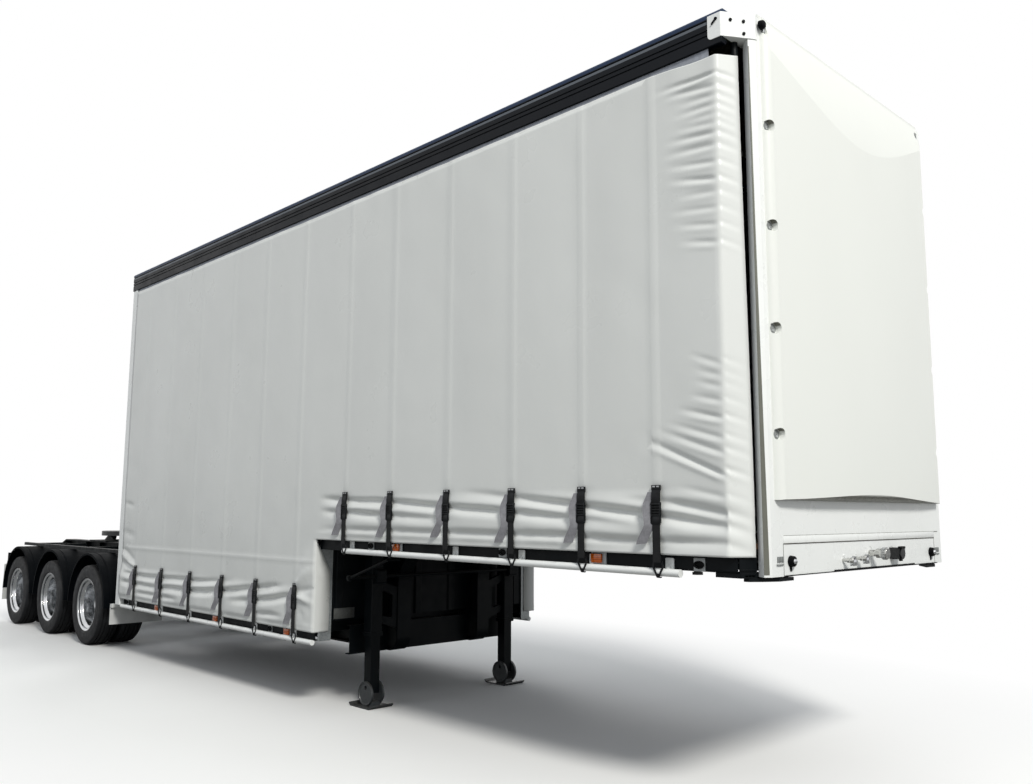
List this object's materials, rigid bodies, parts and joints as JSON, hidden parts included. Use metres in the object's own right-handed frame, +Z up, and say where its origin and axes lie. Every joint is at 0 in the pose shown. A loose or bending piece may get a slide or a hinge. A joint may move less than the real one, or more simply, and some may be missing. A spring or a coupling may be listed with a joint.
{
  "type": "drop-deck curtain-sided semi trailer",
  "caption": "Drop-deck curtain-sided semi trailer with a raised front deck, low rear deck, landing legs and a twin-wheel axle group under a turntable tail.",
  "frame": {"origin": "on the ground below the middle of the overall box", "axes": "+X forwards, towards the towing vehicle; +Y to the trailer's left; +Z up"},
  "size_m": [12.44, 2.54, 4.3],
  "materials": {
    "curtain_vinyl": "satin",
    "white_paint": "gloss",
    "moulded_white": "gloss",
    "chassis_paint": "satin",
    "rail_paint": "gloss",
    "grey_paint": "satin",
    "floor_board": "matte",
    "webbing": "matte",
    "tyre_rubber": "matte",
    "polished_alloy": "polished",
    "cast_black": "satin",
    "guard_plastic": "satin",
    "flap_white": "satin",
    "bag_rubber": "matte",
    "coupling_metal": "polished",
    "lamp_black": "satin",
    "lamp_red": "gloss"
  },
  "bodies": {
    "trailer": {"air_bags": "bag_rubber", "air_couplings": "coupling_metal", "air_tanks": "chassis_paint", "axles": "chassis_paint", "coupling_panel": "white_paint", "cross_members": "chassis_paint", "curtain_poles": "chassis_paint", "curtain_straps": "webbing", "deck_floors": "floor_board", "drop_posts": "grey_paint", "front_fairing": "moulded_white", "front_frame": "chassis_paint", "front_lamps": "lamp_black", "front_posts": "white_paint", "front_wall": "white_paint", "guard_rails": "chassis_paint", "kingpin": "cast_black", "landing_braces": "chassis_paint", "landing_drive": "chassis_paint", "landing_feet": "grey_paint", "landing_legs_inner": "chassis_paint", "landing_legs_outer": "chassis_paint", "main_beams": "chassis_paint", "mudflaps": "flap_white", "mudguards": "guard_plastic", "rear_posts": "white_paint", "rear_wall": "white_paint", "roof": "moulded_white", "roof_corners": "white_paint", "roof_rails": "rail_paint", "shock_absorbers": "chassis_paint", "side_curtain_left": "curtain_vinyl", "side_curtain_right": "curtain_vinyl", "side_raves": "chassis_paint", "skid_plate": "chassis_paint", "step_bulkhead": "chassis_paint", "suspension_arms": "chassis_paint", "suspension_hangers": "chassis_paint", "tail_bar": "chassis_paint", "tail_lamps": "lamp_red", "tie_rails": "white_paint", "turntable_base": "chassis_paint"},
    "turntable": {"turntable": "cast_black"},
    "wheel_1_right": {"tyres_1_right": "tyre_rubber", "wheels_1_right": "polished_alloy"},
    "wheel_1_left": {"tyres_1_left": "tyre_rubber", "wheels_1_left": "polished_alloy"},
    "wheel_2_right": {"tyres_2_right": "tyre_rubber", "wheels_2_right": "polished_alloy"},
    "wheel_2_left": {"tyres_2_left": "tyre_rubber", "wheels_2_left": "polished_alloy"},
    "wheel_3_right": {"tyres_3_right": "tyre_rubber", "wheels_3_right": "polished_alloy"},
    "wheel_3_left": {"tyres_3_left": "tyre_rubber", "wheels_3_left": "polished_alloy"}
  },
  "joints": [
    {"name": "roll_1_right", "type": "hinge", "parent": "trailer", "child": "wheel_1_right", "pos_m": [-2.91, 0, 0.464], "axis": [0, 1, 0], "continuous": true},
    {"name": "roll_1_left", "type": "hinge", "parent": "trailer", "child": "wheel_1_left", "pos_m": [-2.91, 0, 0.464], "axis": [0, 1, 0], "continuous": true},
    {"name": "roll_2_right", "type": "hinge", "parent": "trailer", "child": "wheel_2_right", "pos_m": [-4.252, 0, 0.464], "axis": [0, 1, 0], "continuous": true},
    {"name": "roll_2_left", "type": "hinge", "parent": "trailer", "child": "wheel_2_left", "pos_m": [-4.252, 0, 0.464], "axis": [0, 1, 0], "continuous": true},
    {"name": "roll_3_right", "type": "hinge", "parent": "trailer", "child": "wheel_3_right", "pos_m": [-5.594, 0, 0.464], "axis": [0, 1, 0], "continuous": true},
    {"name": "roll_3_left", "type": "hinge", "parent": "trailer", "child": "wheel_3_left", "pos_m": [-5.594, 0, 0.464], "axis": [0, 1, 0], "continuous": true},
    {"name": "turntable_pitch", "type": "hinge", "parent": "trailer", "child": "turntable", "pos_m": [-4.59, 0, 1.204], "axis": [0, 1, 0], "range_deg": [-8, 8]}
  ]
}
